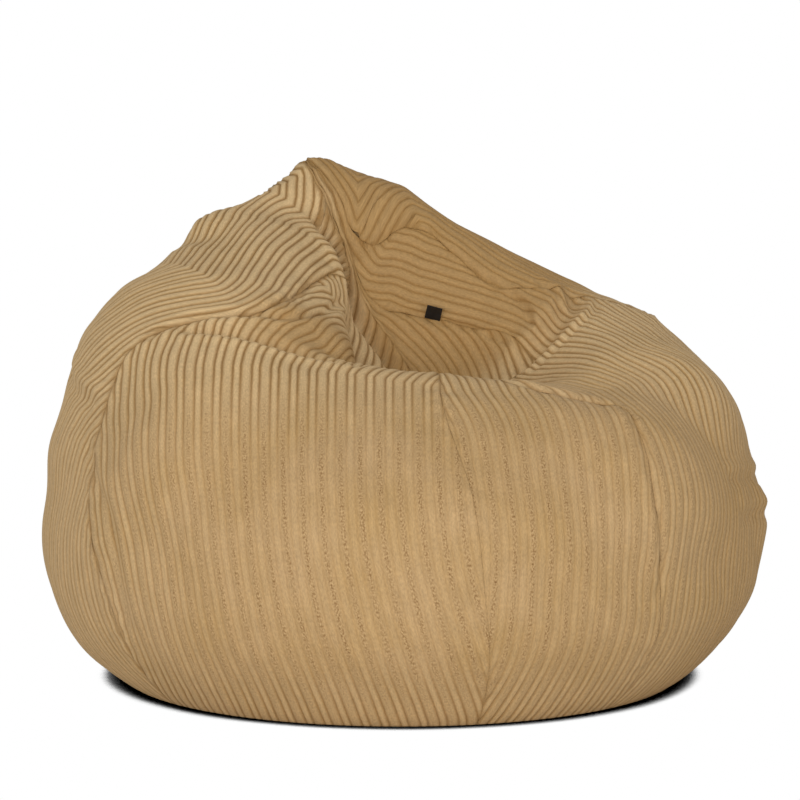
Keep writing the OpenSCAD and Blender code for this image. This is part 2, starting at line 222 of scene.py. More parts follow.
def roll(p, a, b, radius_a, radius_b):
    """Distance to a roll: that to the segment from a to b, less a radius that changes along it."""
    a, b = np.array(a, float), np.array(b, float)
    d = b - a
    t = np.clip((p - a) @ d / (d @ d), 0, 1)
    return np.linalg.norm(p - a - t[..., None] * d, axis=-1) - radius_a - (radius_b - radius_a) * t


def belly(p):
    """A rounded barrel: the power sum of the level radius and the height, flatter above than below."""
    across = np.linalg.norm(p[..., :2] / BELLY_HALF, axis=-1)
    up = np.abs(p[..., 2] - BELLY_Z) / np.where(p[..., 2] > BELLY_Z, BELLY_UP, BELLY_DOWN)
    return BELLY_MEAN_R * ((across**BELLY_POWER + up**BELLY_POWER) ** (1 / BELLY_POWER) - 1)


def bag(p):
    """Belly, front roll, right arm, left bulge and the slopes up to the tip, blended; the seat pressed in;
    and the rolls of slack cloth laid on that."""
    f = smooth_min(belly(p), roll(p, (-215, -185, 310), (235, -205, 252), 126, 118), 60)
    f = smooth_min(f, oval(p, (252, 35, 284), (166, 230, 153)), 60)
    f = smooth_min(f, oval(p, (-222, 15, 335), (204, 235, 197)), 60)
    f = smooth_min(f, roll(p, (-195, 85, 470), TIP, 106, TIP_LEFT_R), 45)
    f = smooth_min(f, roll(p, (190, 130, 305), TIP + (10, 0, 6), 190, TIP_R), 45)
    f = smooth_min(f, roll(p, (-20, 170, 280), TIP + (10, 0, 6), 230, TIP_R), 45)
    f = smooth_max(f, -oval(p, SEAT_MID, SEAT_HALF), 55)
    for points, blend in SLACK:
        rolls = [roll(p, a[:3], b[:3], a[3], b[3]) for a, b in zip(points, points[1:])]
        f = smooth_min(f, np.minimum.reduce(rolls), blend)
    return f


# ---------------------------------------------------------------- the skin: a lattice of bearings and heights
STEP = 1 / 3          # degrees between the lattice's columns
ROWS = 280            # steps from the base to the neck
NECK = 0.994          # the panels end here, just short of the tip
BEARINGS = np.arange(-180, 180, STEP)
HEIGHTS = np.linspace(0, NECK, ROWS + 1)
FOOT = 0.05           # below this height the skin eases on to the base's ring
NEAREST, FARTHEST = 120.0, 760.0    # every ray from the heart leaves the bag between these distances


def ring(bearing):
    """Level distance from the heart to the base's edge, on a bearing in radians."""
    along = HEART[0] * np.cos(bearing) + HEART[1] * np.sin(bearing)
    return -along + np.sqrt(along**2 - HEART[0] ** 2 - HEART[1] ** 2 + BASE_R**2)


def rays(bearing, v):
    """Directions from the heart: they swing up from the base's edge to the zenith, leaning to the tip."""
    low = np.arctan2(ring(bearing), HEART[2])
    polar = low + (np.pi - low) * v
    top = TIP * STRETCH - HEART
    lean = ramp(v, 0, 1)
    d = np.stack([np.sin(polar) * np.cos(bearing) + top[0] / top[2] * lean,
                  np.sin(polar) * np.sin(bearing) + top[1] / top[2] * lean, -np.cos(polar)], -1)
    return d / np.linalg.norm(d, axis=-1, keepdims=True)


def solve_skin():
    """Where each ray leaves the bag: halving steps, then two straight-line steps to the zero."""
    bearing, v = np.meshgrid(np.radians(BEARINGS), HEIGHTS, indexing="ij")
    d = rays(bearing, v)

    def f(t):
        return bag((HEART + d * t[..., None]) / STRETCH)
    low, high = np.full(v.shape, NEAREST), np.full(v.shape, FARTHEST)
    for _ in range(10):
        middle = (low + high) / 2
        inside = f(middle) < 0
        low, high = np.where(inside, middle, low), np.where(inside, high, middle)
    f_low, f_high = f(low), f(high)
    t = low - f_low * (high - low) / (f_high - f_low + 1e-12)
    f_t = f(t)
    inside = f_t < 0
    low, f_low = np.where(inside, t, low), np.where(inside, f_t, f_low)
    high, f_high = np.where(inside, high, t), np.where(inside, f_high, f_t)
    t = low - f_low * (high - low) / (f_high - f_low + 1e-12)
    p = HEART + d * t[..., None]
    foot = np.stack([HEART[0] + ring(bearing) * np.cos(bearing), HEART[1] + ring(bearing) * np.sin(bearing),
                     np.zeros_like(v)], -1)
    ease = ramp(v, 0, FOOT)[..., None]
    return p * ease + (foot + (p - p[:, :1])) * (1 - ease)


def outward(p):
    """Unit normals of the lattice, from the differences along its columns and rows."""
    around = np.roll(p, -1, 0) - np.roll(p, 1, 0)
    up = np.gradient(p, axis=1)
    n = np.cross(around, up)
    n[:, -1] = n[:, -2].mean(0)
    return n / (np.linalg.norm(n, axis=-1, keepdims=True) + 1e-12)


def across_rows(table, bearing, row):
    """Values of a lattice table at any bearings in degrees, between its columns, on whole rows."""
    x = (bearing - BEARINGS[0]) / STEP
    i = np.floor(x).astype(int)
    t = (x - i).reshape(x.shape + (1,) * (table.ndim - 2))
    n = len(BEARINGS)
    return table[i % n, row] * (1 - t) + table[(i + 1) % n, row] * t


def at(table, bearing, v):
    """Values of a lattice table at any bearings in degrees and heights."""
    y = np.clip(v / NECK * ROWS, 0, ROWS)
    j = np.minimum(y.astype(int), ROWS - 1)
    t = (y - j).reshape(y.shape + (1,) * (table.ndim - 2))
    return across_rows(table, bearing, j) * (1 - t) + across_rows(table, bearing, j + 1) * t


def knots(line, x_new):
    """A smooth curve through a line's knots: cubic pieces whose slopes come from their neighbours."""
    x, y = np.array(line, float).T
    slope = np.gradient(y, x)
    i = np.clip(np.searchsorted(x, x_new, side="right") - 1, 0, len(x) - 2)
    h = x[i + 1] - x[i]
    t = (x_new - x[i]) / h
    return ((1 + 2 * t) * (1 - t) ** 2 * y[i] + t * (1 - t) ** 2 * h * slope[i]
            + t * t * (3 - 2 * t) * y[i + 1] + t * t * (t - 1) * h * slope[i + 1])


def beside(skin, normal, bearing, v, reach):
    """The lattice points within reach of a line on the skin: which they are, how far to its left each lies,
    how far along it in millimetres, and how squarely it faces the way that the line's own skin does."""
    path, facing = at(skin, bearing, v), at(normal, bearing, v)
    near = ((skin > path.min(0) - reach) & (skin < path.max(0) + reach)).all(-1)
    p, n = skin[near], normal[near]
    a, d = path[:-1], np.diff(path, axis=0)
    best, side, along, square = np.full(len(p), 1e9), np.zeros(len(p)), np.zeros(len(p)), np.zeros(len(p))
    done = 0.0
    for k in range(len(a)):
        length = np.linalg.norm(d[k])
        q = p - a[k]
        t = np.clip(q @ d[k] / length**2, 0, 1)
        off = q - t[:, None] * d[k]
        far = np.linalg.norm(off, axis=-1)
        closer = far < best
        best[closer] = far[closer]
        side[closer] = np.sign((np.cross(d[k], off) * n).sum(-1))[closer]
        along[closer] = done + t[closer] * length
        square[closer] = (n @ facing[k])[closer]
        done += length
    return near, best * side, along / done, done, ramp(square, -0.1, 0.5)


def fold_skin(skin):
    """The skin with its folds: each pushes the points beside its line out or in by the sum of its bells.
    A fold fades in and out over the first and last eighth of its line. Seams pucker in short waves, and the
    whole skin is a little uneven: a sum of long waves in seeded directions."""
    normal = outward(skin)
    push = np.zeros(skin.shape[:2])
    fine = np.linspace(0, 1, 48)
    for line, bells in FOLDS:
        at_knots = np.linspace(0, 1, len(line))
        bearing, v = (knots(list(zip(at_knots, values)), fine) for values in zip(*line))
        reach = max(abs(offset) + 2.5 * width for offset, width, _ in bells)
        near, side, along, _, square = beside(skin, normal, bearing, v, reach)
        fade = ramp(along, 0, 0.125) * ramp(along, 1, 0.875) * square
        push[near] += fade * sum(height * np.exp(-((side - offset) / width) ** 2)
                                 for offset, width, height in bells)
    rng = np.random.default_rng(7)
    degree = np.linalg.norm(np.roll(skin, -1, 0) - np.roll(skin, 1, 0), axis=-1) / (2 * STEP)
    for seam in SEAMS:
        bearing = knots(seam, HEIGHTS)
        side = ((bearing - BEARINGS[:, None] + 180) % 360 - 180) * degree
        line = across_rows(skin, bearing, np.arange(ROWS + 1))
        x = np.concatenate([[0], np.cumsum(np.linalg.norm(np.diff(line, axis=0), axis=-1))])
        wave = np.sin(x / PUCKER_WAVE + 1.8 * np.sin(x / 31 + rng.uniform(0, 6)) + rng.uniform(0, 6))
        push += PUCKER_H * wave * np.exp(-(side / PUCKER_REACH) ** 2) * np.clip(side / HEM, -1, 1)
    for length in LONG_WAVES:
        way = rng.normal(size=3)
        way *= 2 * np.pi / length / np.linalg.norm(way)
        push += length * LONG_SHARE * np.sin(skin @ way + rng.uniform(0, 6))
    push *= ramp(HEIGHTS, 0.01, 0.1)
    return skin + normal * push[..., None]


def lowest_near(table, columns, rows):
    """Each entry's smallest neighbour within so many columns and rows: running minima along both axes."""
    low = table.copy()
    for shift in range(-columns, columns + 1):
        low = np.minimum(low, np.roll(table, shift, 0))
    wide = np.pad(low, ((0, 0), (rows, rows)), mode="edge")
    return np.minimum.reduce([wide[:, j:j + table.shape[1]] for j in range(2 * rows + 1)])


PLAIN_SKIN = solve_skin()
PLAIN_NORMAL = outward(PLAIN_SKIN)
SKIN = fold_skin(PLAIN_SKIN)
NORMAL = outward(SKIN)
# The lining, the liner and the fill bridge the creases: they follow the deepest skin near by.
DEEP = lowest_near(((SKIN - PLAIN_SKIN) * PLAIN_NORMAL).sum(-1), 7, 4)


def layer(depth, at_tip=0):
    """The lattice at a depth under the deepest skin near each point, and deeper by at_tip near the tip."""
    inwards = np.minimum(DEEP, 0) - depth - at_tip * ramp(HEIGHTS, 0.84, 0.92)
    return PLAIN_SKIN + PLAIN_NORMAL * inwards[..., None]


LINING = layer(BACKING + WIDE_H)

# ---------------------------------------------------------------- meshes


def mesh_piece(name, points, faces, smooth, material, uv=None, attributes=None):
    """An object at the origin from points in millimetres; uv and attributes hold a value per point."""
    mesh = bpy.data.meshes.new(name)
    mesh.from_pydata((points * MM).tolist(), [], faces)
    mesh.polygons.foreach_set("use_smooth", smooth)
    loops = np.zeros(len(mesh.loops), np.int32)
    mesh.loops.foreach_get("vertex_index", loops)
    if uv is not None:
        mesh.uv_layers.new(name="cloth").data.foreach_set("uv", uv[loops].astype(np.float32).ravel())
    for key, values in (attributes or {}).items():
        mesh.attributes.new(key, "FLOAT", "POINT").data.foreach_set("value", values.astype(np.float32))
    mesh.validate()
    mesh.update()
    piece = bpy.data.objects.new(name, mesh)
    bpy.context.scene.collection.objects.link(piece)
    mesh.materials.append(material)
    return piece


def wale_columns(low, high):
    """Places across the cloth where the wales are sampled: more of them at the grooves."""
    wide = WIDE / 2 * (1 + np.array([-1, -0.93, -0.72, -0.38, 0, 0.38, 0.72, 0.93]))
    narrow = WIDE + NARROW / 2 * (1 + np.array([-1, -0.9, -0.55, 0, 0.55, 0.9]))
    pattern = np.concatenate([wide, narrow])
    first, last = math.floor(low / PAIR) - 1, math.ceil(high / PAIR) + 1
    return (np.arange(first, last)[:, None] * PAIR + pattern).ravel()


def wales(r):
    """Across the cloth: the pile's height, its share of its own wale's, and how far into a wide wale.
    Wide and narrow wales take turns, each a blunt arch between two grooves."""
    t = np.mod(r + 1e-6, PAIR)
    wide = t < WIDE
    u = np.where(wide, t / WIDE, (t - WIDE) / NARROW) * 2 - 1
    arch = np.maximum(1 - np.abs(u) ** 2.4, 0) ** 0.75
    middle = np.where(wide, np.maximum(1 - (u / 0.5)**2, 0), 0)
    return arch * np.where(wide, WIDE_H, NARROW_H), arch, middle


WORN_BEARING, WORN_HALF = -82, 46    # the most worn bearing, and how far the wear reaches each way


def worn(bearing, v):
    """How far the pile is flattened, 0 to 1: most on the lower front, a little all round below the rim."""
    turn = (bearing - WORN_BEARING + 180) % 360 - 180
    low = (1 - ramp(v, 0.33, 0.53)) * (0.4 + 0.6 * ramp(v, 0.02, 0.14))
    return low * (0.25 + 0.75 * np.exp(-(turn / WORN_HALF) ** 4))


def painted_shade_region(bearing, v):
    """Painted shade, 0 to 1: where the pile is painted darker and more saturated in place of shade, on the
    seat's back and the slope behind it, and less on the seat's left and on the right side."""
    turn = (bearing + 180) % 360 - 180
    behind = ramp(v, 0.53, 0.62) * ramp(turn, -68, -48) * (1 - ramp(turn, 60, 100))
    beside = ramp(turn, -48, -25) * (1 - ramp(turn, 60, 100)) * (1 - ramp(v, 0.26, 0.4))
    left = ramp(turn, -114, -98) * (1 - ramp(turn, -62, -50))
    left *= ramp(v, 0.53, 0.57) * (1 - ramp(v, 0.62, 0.68))
    return np.maximum(np.maximum(behind, 0.5 * beside), 0.75 * left)


def from_line(points, line, side):
    """Signed distance from a wale's line: the straight one to its nearest piece, rising across each row."""
    line = line[::4]
    a, d = line[:-1], np.diff(line, axis=0)
    length2 = (d * d).sum(-1)
    found = np.empty(points.shape[:2])
    for j in range(points.shape[1]):
        q = points[:, j, None] - a
        t = np.clip((q * d).sum(-1) / length2, 0, 1)
        found[:, j] = np.linalg.norm(q - t[..., None] * d, axis=-1).min(1)
    found *= np.sign(side)
    creep = np.arange(len(points))[:, None] * 0.01    # so that no two places in a row are equally far
    return np.maximum.accumulate(found, 0) + creep


def panel(name, left, right, line, material):
    """A side panel: columns at set distances from its wale line, cut off at its two seams.

    Columns past a seam fold into the point on it, so the quads there become triangles or nothing.
    A smoother inner face backs it, and strips along its four edges join the two."""
    rows = np.arange(ROWS + 1)
    v = HEIGHTS
    left_b, right_b, line_b = knots(left, v), knots(right, v), knots(line, v)
    span = np.arange(math.floor(min(left_b.min(), line_b.min())) - 4,
                     math.ceil(max(right_b.max(), line_b.max())) + 4, STEP)
    every = np.broadcast_to(span[:, None], (len(span), len(rows)))
    away = from_line(across_rows(PLAIN_SKIN, every, rows[None]), across_rows(PLAIN_SKIN, line_b, rows),
                     span[:, None] - line_b)

    def away_at(b):
        x = (b - span[0]) / STEP
        i = np.floor(x).astype(int)
        return away[i, rows] + (away[i + 1, rows] - away[i, rows]) * (x - i)
    low, high = away_at(left_b) + SEAM_GAP, away_at(right_b) - SEAM_GAP
    columns = wale_columns(low.min(), high.max())
    first = np.searchsorted(columns, low) - 1
    last = np.searchsorted(columns, high)
    r = np.clip(columns[:, None], low, high)
    # Bearings of those places, by looking each one up in its own row's distances
    apart = np.ptp(away) * 2 + 1000
    in_turn = (away + rows * apart).T.ravel()
    found = np.interp((r + rows * apart).T.ravel(), in_turn, np.tile(np.arange(len(span)), len(rows)))
    bearing = (span[0] + found * STEP).reshape(len(rows), len(columns)).T
    p = across_rows(SKIN, bearing, rows[None])
    n = across_rows(NORMAL, bearing, rows[None])
    n /= np.linalg.norm(n, axis=-1, keepdims=True)
    # deep is the painted shade region: the shader darkens the pile there, and the wales' relief is a little
    # lower
    flattened, deep = worn(bearing, v), painted_shade_region(bearing, v)
    height, arch, middle = wales(r)
    hem = ramp(np.minimum(r - low, high - r), 0, HEM)
    lift = (height - WIDE_H) * (1 - 0.85 * flattened) * (1 - 0.2 * deep)
    lift -= HEM_DROP * (1 - hem) * (1 - 0.75 * flattened)
    outer = p + n * lift[..., None]
    outer[..., 2] = np.maximum(outer[..., 2], 0)
    outer[:, 0, 2] = 0
    along = np.concatenate([[0], np.cumsum(np.linalg.norm(np.diff(
        across_rows(PLAIN_SKIN, line_b, rows), axis=0), axis=-1))])
    uv = np.stack([r, np.broadcast_to(along, r.shape)], -1) * MM

    # Outer face
    m, k = len(columns), len(rows)
    ids = np.clip(np.arange(m)[:, None], first, last) * k + np.arange(k)
    quads = np.stack([ids[:-1, :-1], ids[1:, :-1], ids[1:, 1:], ids[:-1, 1:]], -1).reshape(-1, 4)
    same = quads == np.roll(quads, -1, 1)
    whole = quads[~same.any(1)]
    pinched = same.sum(1) == 1
    triangles = quads[pinched][~same[pinched]].reshape(-1, 3)

    # Inner face
    share = np.linspace(0, 1, STRIPS + 1)[:, None]
    rows_in = rows[::BLOCK]
    b_in = bearing[first[rows_in], rows_in] * (1 - share) + bearing[last[rows_in], rows_in] * share
    p_in = across_rows(LINING, b_in, rows_in[None])
    p_in[..., 2] = np.maximum(p_in[..., 2], 0)
    p_in[:, 0, 2] = 0
    q = len(rows_in)
    ids_in = m * k + np.arange((STRIPS + 1) * q).reshape(STRIPS + 1, q)
    inner = np.stack([ids_in[:-1, :-1], ids_in[:-1, 1:], ids_in[1:, 1:], ids_in[1:, :-1]], -1).reshape(-1, 4)

    # Strips along the edges
    rim = []
    for s in range(q - 1):
        a, b = s * BLOCK, (s + 1) * BLOCK
        rim.append(list(ids[0, a:b + 1]) + [ids_in[0, s + 1], ids_in[0, s]])
        rim.append(list(ids[-1, a:b + 1][::-1]) + [ids_in[-1, s], ids_in[-1, s + 1]])
    for row, row_in, way in ((0, 0, -1), (-1, -1, 1)):
        edge = ids[first[row]:last[row] + 1, row]
        cuts = np.linspace(0, len(edge) - 1, STRIPS + 1).astype(int)
        for s in range(STRIPS):
            strip = list(edge[cuts[s]:cuts[s + 1] + 1]) + [ids_in[s + 1, row_in], ids_in[s, row_in]]
            rim.append(strip[::way])
    points = np.concatenate([outer.reshape(-1, 3), p_in.reshape(-1, 3)])
    used = np.zeros(len(points), bool)
    for part in (whole, triangles, inner):
        used[part.ravel()] = True
    new = np.cumsum(used) - 1
    faces = (new[whole].tolist() + new[triangles].tolist() + new[inner].tolist()
             + [new[f].tolist() for f in rim])
    smooth = np.ones(len(faces), bool)
    smooth[len(faces) - len(rim):] = False

    def per_point(values, inside):
        on_lining = np.full((p_in[..., 0].size, *values.shape[2:]), inside, float)
        return np.concatenate([values.reshape(-1, *values.shape[2:]), on_lining])[used]
    # The wale attribute is each point's share of its wale's height, halved at the seams: the shader paints
    # the crowns' highlight and the grooves' shade from it, so painted shade also runs along the seams
    piece = mesh_piece(name + "_cloth", points[used], faces, smooth, material, per_point(uv, 0), {
        "wale": per_point(arch * (0.5 + 0.5 * hem), 1), "middle": per_point(middle, 0),
        "worn": per_point(flattened, 0), "deep": per_point(deep, 0)})
    width, length = (high - low).max() * MM, along[-1] * MM
    area = float(((high - low)[:-1] * np.diff(along)).sum() * MM**2)
    return piece, (width, length), area


# ---------------------------------------------------------------- the base, the liner and the fill
CORD_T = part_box("base_front_half")[1].z / MM     # the base's cloth, pile and all
BASE_EDGE = BASE_R - BACKING - WIDE_H + 0.6      # the base's edge is caught in the panels' seam
SPLIT = 0.3                                      # from the base's middle to each half's edge
SLIT_HALF = 7.0                                  # half the width of the gap that a slider passes in
ZIP_HALF_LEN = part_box("zip_tape_front")[1].x / MM
LINER_ZIP_HALF_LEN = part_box("liner_zip_tape_front")[1].x / MM
LINER_ZIP_Y = (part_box("liner_zip_slider")[0].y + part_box("liner_zip_slider")[1].y) / 2 / MM
LINER_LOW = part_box("liner_base")[0].z / MM
MOUND_HALF = 19.0                                # half the width of the room over a zip
COVER_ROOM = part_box("liner_base")[1].z / MM - LINER_T - LINER_LOW    # the room over the cover's zip
LINER_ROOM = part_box("liner_zip_slider")[1].z / MM - LINER_LOW - LINER_T    # and over the liner's
FILL_LIFT = 0.6                                  # from the liner's cloth up to the beads
PRESSED = 0.3        # the share of the base's pile relief that is left under the bag's weight


def flat_sheet(name, radius, x, y, kept, under, over, material):
    """A level round sheet: a grid of x and y, drawn in to the circle, with the slits and notches left out.

    under and over give the heights of its two faces. Points past the circle fall on it and are merged
    there; walls join the two faces round every edge."""
    grid_x, grid_y = np.meshgrid(x, y, indexing="ij")
    reach = np.sqrt(np.maximum(radius**2 - grid_x**2, 0))
    held_y = np.clip(grid_y, -reach, reach)
    m, k = grid_x.shape
    ids = np.arange(m * k).reshape(m, k)
    middle_x, middle_y = (grid_x[:-1, :-1] + grid_x[1:, 1:]) / 2, (grid_y[:-1, :-1] + grid_y[1:, 1:]) / 2
    quads = np.stack([ids[:-1, :-1], ids[:-1, 1:], ids[1:, 1:], ids[1:, :-1]], -1)[kept(middle_x, middle_y)]
    edges = np.stack([quads, np.roll(quads, -1, 1)], -1).reshape(-1, 2)
    code = edges[:, 0] * m * k + edges[:, 1]
    outline = edges[~np.isin(code, edges[:, 1] * m * k + edges[:, 0])]
    walls = np.stack([outline[:, 1], outline[:, 0], outline[:, 0] + m * k, outline[:, 1] + m * k], -1)
    faces = np.concatenate([quads, quads[:, ::-1] + m * k, walls])
    points = np.concatenate([np.stack([grid_x, held_y, height(grid_x, held_y)], -1).reshape(-1, 3)
                             for height in (under, over)])
    uv = points[:, :2] * MM
    _, arch, middle = wales(points[:, 0])
    piece = mesh_piece(name, points, faces.tolist(), np.zeros(len(faces), bool), material, uv,
                       {"wale": arch, "middle": middle, "worn": np.ones(len(points)),
                        "deep": np.zeros(len(points))})
    return mended(piece)


def mended(piece):
    """Merges a piece's coincident points and turns its faces outwards."""
    bm = bmesh.new()
    bm.from_mesh(piece.data)
    bmesh.ops.remove_doubles(bm, verts=bm.verts, dist=0.02 * MM)
    bmesh.ops.delete(bm, geom=[e for e in bm.edges if not e.link_faces], context="EDGES")
    bmesh.ops.delete(bm, geom=[v for v in bm.verts if not v.link_faces], context="VERTS")
    bmesh.ops.recalc_face_normals(bm, faces=bm.faces)
    bm.to_mesh(piece.data)
    bm.free()
    return piece


def base_half(name, side):
    """Half of the cover's base, pile downwards and pressed flat, notched so that the slider can pass."""
    end = BASE_EDGE - 0.5
    x = np.unique(np.clip(np.append(wale_columns(-end, end), (-ZIP_HALF_LEN, ZIP_HALF_LEN)), -end, end))
    y = np.concatenate([[SPLIT, SLIT_HALF], np.linspace(SLIT_HALF, BASE_EDGE, 24)[1:]])
    piece = flat_sheet(
        name, BASE_EDGE, x, np.sort(side * y),
        lambda x, y: (np.abs(x) > ZIP_HALF_LEN) | (np.abs(y) > SLIT_HALF),
        lambda x, y: (WIDE_H - wales(x)[0]) * PRESSED,
        lambda x, y: np.full(x.shape, CORD_T - 0.05), CORDUROY)
    return piece, (2 * BASE_EDGE * MM, BASE_EDGE * MM), math.pi * BASE_EDGE**2 / 2 * MM**2


def mound(x, y, half_len, middle_y, height):
    """The room left over a zip: a long flat-topped mound with steep sides."""
    across = 1 - ramp(np.abs(y - middle_y), MOUND_HALF, MOUND_HALF + 8)
    return height * across * (1 - ramp(np.abs(x), half_len + 5, half_len + 12))


def liner_base():
    """The liner's flat base, raised over the cover's zip and slit for its own."""
    radius = BASE_R - LINER_DEPTH - LINER_T
    x = np.append(np.linspace(-1, 1, 90) * (radius - 0.5), (-LINER_ZIP_HALF_LEN, LINER_ZIP_HALF_LEN))
    y = np.concatenate([np.linspace(-radius, radius, 60), np.linspace(-1, 1, 17) * (MOUND_HALF + 8),
                        LINER_ZIP_Y + np.array([-SLIT_HALF, SLIT_HALF])])

    def under(x, y):
        return LINER_LOW + mound(x, y, ZIP_HALF_LEN, 0, COVER_ROOM)
    piece = flat_sheet(
        "liner_base_cloth", radius, np.sort(x), np.sort(y),
        lambda x, y: (np.abs(x) > LINER_ZIP_HALF_LEN) | (np.abs(y - LINER_ZIP_Y) > SLIT_HALF),
        under, lambda x, y: under(x, y) + LINER_T, LINER_CLOTH)
    return piece, (2 * radius * MM, 2 * radius * MM), math.pi * radius**2 * MM**2


def rings(depth, low_z):
    """Every fourth column and row of the layer at a depth, no lower than low_z."""
    p = layer(depth, 5)[::BLOCK, ::BLOCK].copy()
    p[:, 0, 2] = low_z
    p[..., 2] = np.maximum(p[..., 2], low_z)
    return p


def ring_quads(m, k):
    """Quads between m columns that close on themselves and k rows, facing outwards, and the index grid."""
    ids = np.arange(m * k).reshape(m, k)
    after = np.roll(ids, -1, 0)
    return np.stack([ids[:, :-1], after[:, :-1], after[:, 1:], ids[:, 1:]], -1).reshape(-1, 4), ids, after


def liner_wall():
    """The liner's side: two faces a cloth apart, joined along the foot and closed at the tip."""
    outer, inner = rings(LINER_DEPTH, LINER_LOW), rings(LINER_DEPTH + LINER_T, LINER_LOW)
    m, k = outer.shape[:2]
    quads, ids, after = ring_quads(m, k)
    foot = np.stack([after[:, 0], ids[:, 0], ids[:, 0] + m * k, after[:, 0] + m * k], -1)
    faces = quads.tolist() + (quads[:, ::-1] + m * k).tolist() + foot.tolist()
    faces += [ids[:, -1].tolist(), (ids[::-1, -1] + m * k).tolist()]
    points = np.concatenate([outer.reshape(-1, 3), inner.reshape(-1, 3)])
    piece = mesh_piece("liner_wall_cloth", points, faces, np.ones(len(faces), bool), LINER_CLOTH)
    steps = np.linalg.norm(np.diff(outer, axis=1), axis=-1)
    widths = np.linalg.norm(np.roll(outer, -1, 0) - outer, axis=-1)
    flat = (widths.sum(0).max() * MM, steps.sum(1).max() * MM)
    return piece, flat, float((widths[:, :-1] * steps).sum()) * MM**2


def bead_fill():
    """The beads: the liner's inside, on a floor of rings that shrink to its middle and rise over the zips."""
    low = LINER_LOW + LINER_T + FILL_LIFT
    side = rings(FILL_DEPTH, low)
    floor = side[:, :1] * np.linspace(0, 1, 90)[None, 1:-1, None] * (1, 1, 0)
    x, y = floor[..., 0], floor[..., 1]
    floor[..., 2] = low + np.maximum(mound(x, y, ZIP_HALF_LEN, 0, COVER_ROOM),
                                     mound(x, y, LINER_ZIP_HALF_LEN, LINER_ZIP_Y, LINER_ROOM))
    p = np.concatenate([floor, side], 1)
    quads, ids, _ = ring_quads(*p.shape[:2])
    faces = quads.tolist() + [ids[:, -1].tolist(), ids[::-1, 0].tolist()]
    return mesh_piece("bead_fill_beads", p.reshape(-1, 3), faces, np.ones(len(faces), bool), BEADS)


# ---------------------------------------------------------------- the label
LABEL_W, LABEL_H, LABEL_T = 20.0, 14.5, 0.55
LABEL_AT = (-25.9, 0.742)    # bearing and height of its middle, on the label seam
LABEL_ROOT = 3.0             # this much of it is caught in the seam
LABEL_FOLD_R = 0.9
LABEL_STAND, LABEL_BOW = 1.2, 1.2    # from the skin to its fold's middle, and the bow across its width
LABEL_LEAN = 0.8                     # how far it leans out for each mm up


def label():
    """A folded satin tag: the outline of its fold - up the front, round the top and down the back - carried
    along its width on a slight bow, standing out of the seam and leaning away from it."""
    foot, out = (at(table, np.array(LABEL_AT[0]), np.array(LABEL_AT[1])) for table in (SKIN, NORMAL))
    along = at(SKIN, np.array(LABEL_AT[0] + 1.5), np.array(LABEL_AT[1] - 0.02)) - foot
    across = along - out * (along @ out)
    across /= np.linalg.norm(across)
    up = np.cross(out, across)
    if up[2] < 0:
        across, up = -across, -up
    turn = np.linspace(0, np.pi, 9)
    rise = np.linspace(-LABEL_ROOT, LABEL_H - LABEL_FOLD_R, 7)[:-1]
    loops = []
    for radius in (LABEL_FOLD_R, LABEL_FOLD_R - LABEL_T):
        deep = np.concatenate([rise * 0 + radius, radius * np.cos(turn), rise * 0 - radius])
        high = np.concatenate([rise, LABEL_H - LABEL_FOLD_R + radius * np.sin(turn), rise[::-1]])
        loops.append(np.stack([deep, high], -1))
    deep, high = np.concatenate([loops[0], loops[1][::-1]]).T
    s = np.linspace(-0.5, 0.5, 13)[:, None, None]
    bow = LABEL_BOW * np.cos(s * np.pi) * np.maximum(high, 0)[None, :, None] / LABEL_H
    lean = LABEL_LEAN * high[:, None]
    p = foot + out * (LABEL_STAND + deep[:, None] + lean + bow) + s * LABEL_W * across + high[:, None] * up
    m, k = p.shape[:2]
    ids = np.arange(m * k).reshape(m, k)
    after = np.roll(ids, -1, 1)
    quads = np.stack([ids[:-1], after[:-1], after[1:], ids[1:]], -1).reshape(-1, 4)
    i = np.arange(k // 2 - 1)
    end = np.stack([i, i + 1, k - 2 - i, k - 1 - i], -1)
    faces = np.concatenate([quads, end[:, ::-1], end + (m - 1) * k])
    uv = np.stack(np.broadcast_arrays(s[..., 0] * LABEL_W, high[None]), -1).reshape(-1, 2) * MM
    piece = mesh_piece("label_tag", p.reshape(-1, 3), faces.tolist(), np.zeros(len(faces), bool),
                       LABEL_SATIN, uv)
    return mended(piece), (LABEL_W * MM, 2 * (LABEL_H + LABEL_ROOT) * MM)


# ---------------------------------------------------------------- materials


def linear(code):
    """An sRGB hex colour as linear RGBA."""
    c = np.array([int(code[i:i + 2], 16) for i in (1, 3, 5)]) / 255
    c = np.where(c <= 0.04045, c / 12.92, ((c + 0.055) / 1.055) ** 2.4)
    return (*c, 1.0)


def node(tree, kind, links=None, **settings):
    """Adds a shader node. settings are its properties or, by name, its inputs; links join its inputs."""
    n = tree.nodes.new(kind)
    for key, value in settings.items():
        if hasattr(n, key):
            setattr(n, key, value)
        else:
            n.inputs[key.replace("_", " ")].default_value = value
    for key, source in (links or {}).items():
        tree.links.new(source, n.inputs[key])
    return n


def new_material(name):
    """An empty node material with that name, and its tree."""
    material = bpy.data.materials.new(name)
    material.use_nodes = True
    material.node_tree.nodes.clear()
    return material, material.node_tree


def finish(tree, links, **settings):
    """Ends a tree: a Principled shader with these links and settings, joined to the output."""
    shader = node(tree, "ShaderNodeBsdfPrincipled", links, **settings)
    node(tree, "ShaderNodeOutputMaterial", {"Surface": shader.outputs["BSDF"]})


def noise(tree, place, size, detail=3.0):
    """Noise of that size in metres, or in metres along each axis of its place."""
    scaled = node(tree, "ShaderNodeMapping", {"Vector": place}, Scale=tuple(1 / np.broadcast_to(size, 3)))
    return node(tree, "ShaderNodeTexNoise", {"Vector": scaled.outputs[0]}, Scale=1.0,
                Detail=detail).outputs["Fac"]


